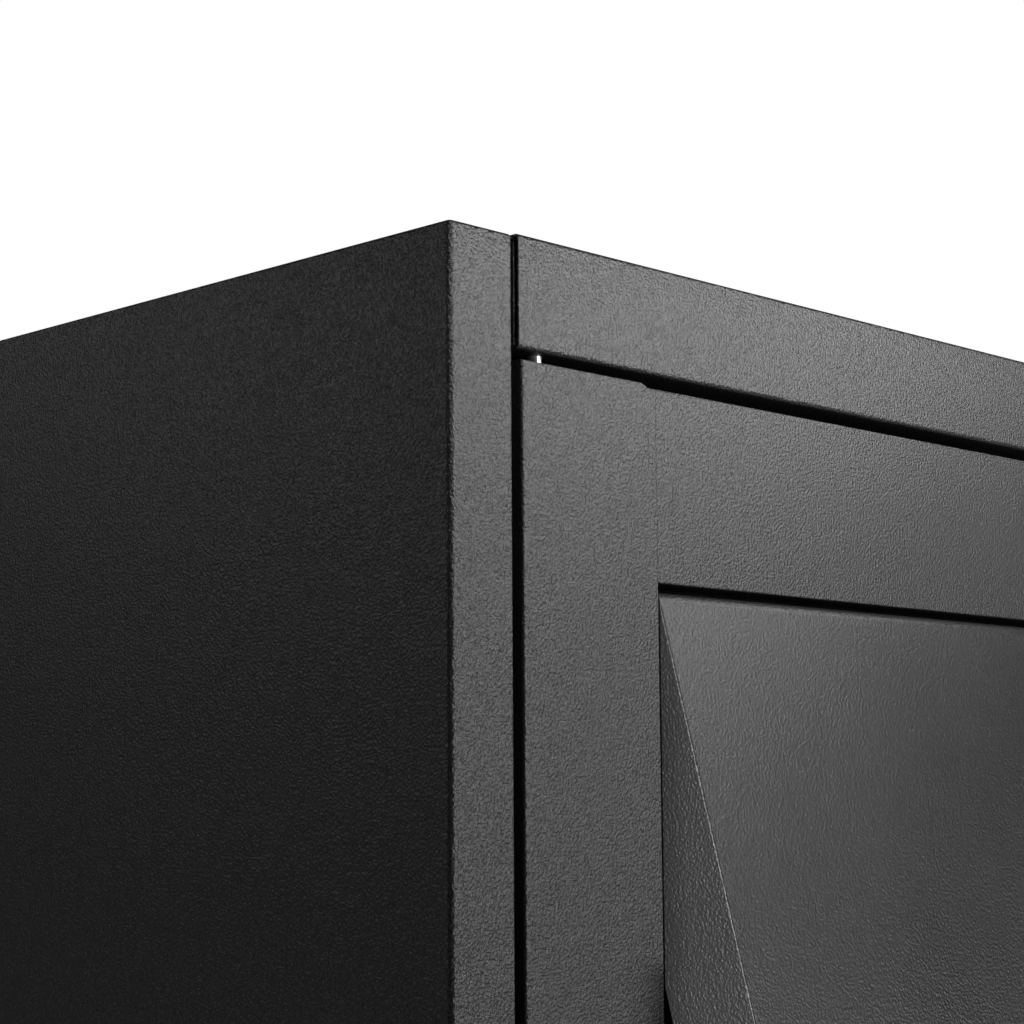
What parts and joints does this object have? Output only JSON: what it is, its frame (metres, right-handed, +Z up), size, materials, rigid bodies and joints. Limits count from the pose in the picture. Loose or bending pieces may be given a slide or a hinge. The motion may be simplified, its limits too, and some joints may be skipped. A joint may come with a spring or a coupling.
{
  "type": "parcel locker",
  "caption": "Free-standing folded-steel parcel cabinet with an upper door that holds a top-hinged deposit flap, a lower parcel door and a cam lock in each door",
  "frame": {"origin": "on the floor at the middle of the four anchor holes, which is the middle of the cabinet's footprint", "axes": "X to the right as seen from the front, Y from the front face into the cabinet, Z up"},
  "size_m": [0.56, 0.5201, 1.2],
  "materials": {
    "body_paint": "fine-textured satin black powder coat",
    "door_paint": "fine-textured satin black powder coat",
    "inner_paint": "smooth satin black powder coat",
    "zinc": "bright zinc plate",
    "bright_steel": "turned bright steel",
    "lock_chrome": "satin chrome plate",
    "nylon": "natural nylon",
    "rubber": "matt black rubber"
  },
  "bodies": {
    "cabinet": {"left_side_panel": "body_paint", "right_side_panel": "body_paint", "back_panel": "inner_paint", "top_panel": "body_paint", "base_pan": "body_paint", "mid_rail": "body_paint", "mid_rail_washers": "zinc", "shelf": "inner_paint", "floor_mat": "rubber", "baffle": "inner_paint", "baffle_studs": "zinc", "hinge_plates": "zinc", "hinge_pins": "bright_steel", "strike_plates": "zinc", "door_bumpers": "rubber", "foot_pads": "rubber", "back_rivets": "zinc"},
    "upper_door": {"upper_hinge_stile": "door_paint", "upper_lock_stile": "door_paint", "upper_top_rail": "door_paint", "upper_bottom_rail": "door_paint", "upper_door_liner": "inner_paint", "upper_hinge_bushes": "nylon", "upper_lock_barrel": "lock_chrome", "upper_lock_nut": "zinc", "flap_rod": "bright_steel", "flap_rod_clips": "bright_steel", "flap_stops": "inner_paint", "flap_stop_pads": "rubber"},
    "upper_lock": {"upper_lock_plug": "lock_chrome", "upper_lock_cam": "zinc", "upper_cam_screw": "zinc"},
    "flap": {"flap_pan": "door_paint", "flap_stiffener": "inner_paint", "flap_bushes": "nylon", "flap_pull": "bright_steel", "flap_pull_screws": "zinc"},
    "lower_door": {"lower_hinge_stile": "door_paint", "lower_lock_stile": "door_paint", "lower_top_rail": "door_paint", "lower_bottom_rail": "door_paint", "lower_infill": "door_paint", "lower_door_liner": "inner_paint", "lower_hinge_bushes": "nylon", "lower_lock_barrel": "lock_chrome", "lower_lock_nut": "zinc"},
    "lower_lock": {"lower_lock_plug": "lock_chrome", "lower_lock_cam": "zinc", "lower_cam_screw": "zinc"}
  },
  "joints": [
    {"name": "upper_door_swing", "type": "hinge", "parent": "cabinet", "child": "upper_door", "pos_m": [-0.2312, -0.202, 0.7011], "axis": [0, 0, -1], "range_deg": [0, 110]},
    {"name": "flap_tilt", "type": "hinge", "parent": "upper_door", "child": "flap", "pos_m": [0, -0.205, 1.074], "axis": [-1, 0, 0], "range_deg": [-15.3, 60]},
    {"name": "upper_lock_turn", "type": "hinge", "parent": "upper_door", "child": "upper_lock", "pos_m": [0.2099, -0.1826, 0.8211], "axis": [0, -1, 0], "range_deg": [0, 90]},
    {"name": "lower_door_swing", "type": "hinge", "parent": "cabinet", "child": "lower_door", "pos_m": [-0.2312, -0.202, 0.0525], "axis": [0, 0, -1], "range_deg": [0, 110]},
    {"name": "lower_lock_turn", "type": "hinge", "parent": "lower_door", "child": "lower_lock", "pos_m": [0.2099, -0.1826, 0.3528], "axis": [0, -1, 0], "range_deg": [0, 90]}
  ]
}
